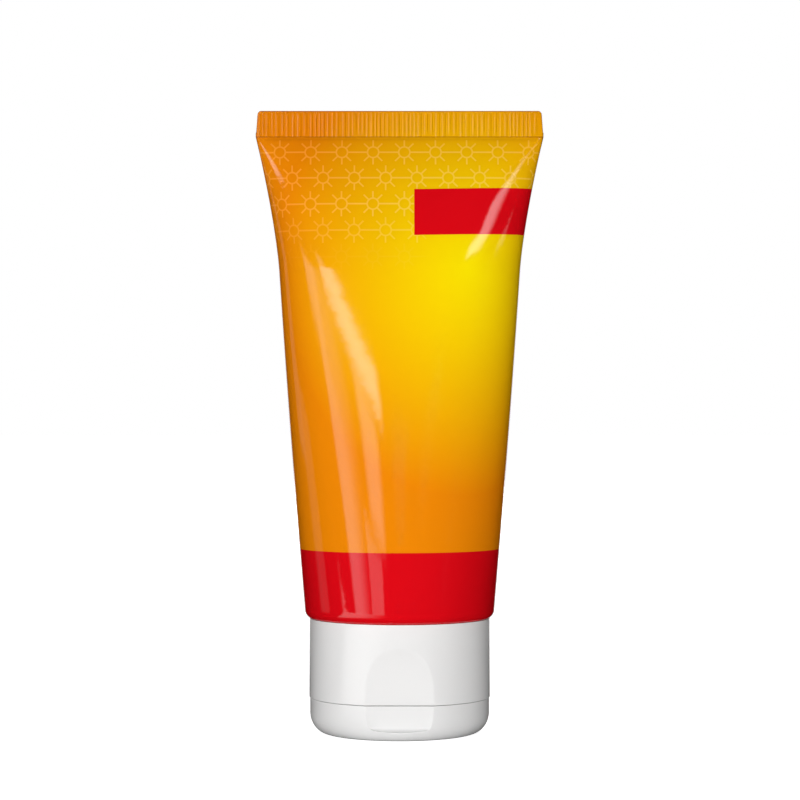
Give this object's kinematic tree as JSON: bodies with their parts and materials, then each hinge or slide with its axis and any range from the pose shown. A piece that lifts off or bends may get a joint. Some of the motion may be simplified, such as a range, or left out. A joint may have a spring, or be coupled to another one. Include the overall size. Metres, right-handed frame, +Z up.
{
  "type": "squeeze tube with flip-top cap",
  "caption": "Squeeze tube of sun lotion that stands on its closed flip-top cap, with a flat ribbed crimp at the top and a thumb recess across cap and lid.",
  "frame": {"origin": "centre of the lid's flat outer face, on which the tube stands", "axes": "+Z up, from the lid to the crimp; -Y is the front with the thumb recess; +Y is the back with the hinge; +X is along the crimp"},
  "size_m": [0.053, 0.035, 0.1143],
  "materials": {
    "printed_sleeve": "glossy printed polyethylene film, orange and yellow with a red band",
    "head_plastic": "natural white moulded polyethylene",
    "lotion": "cream-coloured lotion",
    "cap_plastic": "semi-gloss white moulded polypropylene",
    "lid_plastic": "semi-gloss white moulded polypropylene",
    "hinge_plastic": "thin white moulded polypropylene"
  },
  "bodies": {
    "tube": {"tube_sleeve": "printed_sleeve", "tube_head": "head_plastic", "lotion_fill": "lotion"},
    "cap": {"cap_base": "cap_plastic", "hinge_film_left": "hinge_plastic", "hinge_film_right": "hinge_plastic", "hinge_strap": "hinge_plastic"},
    "lid": {"cap_lid": "lid_plastic"}
  },
  "joints": [
    {"name": "cap_unscrew", "type": "slide", "parent": "tube", "child": "cap", "axis": [0, 0, -1], "range_m": [0, 0.015]},
    {"name": "lid_flip", "type": "hinge", "parent": "cap", "child": "lid", "pos_m": [0, 0.0157, 0.00665], "axis": [1, 0, 0], "range_deg": [0, 150], "deforming": ["hinge_film_left", "hinge_film_right", "hinge_strap"]}
  ]
}
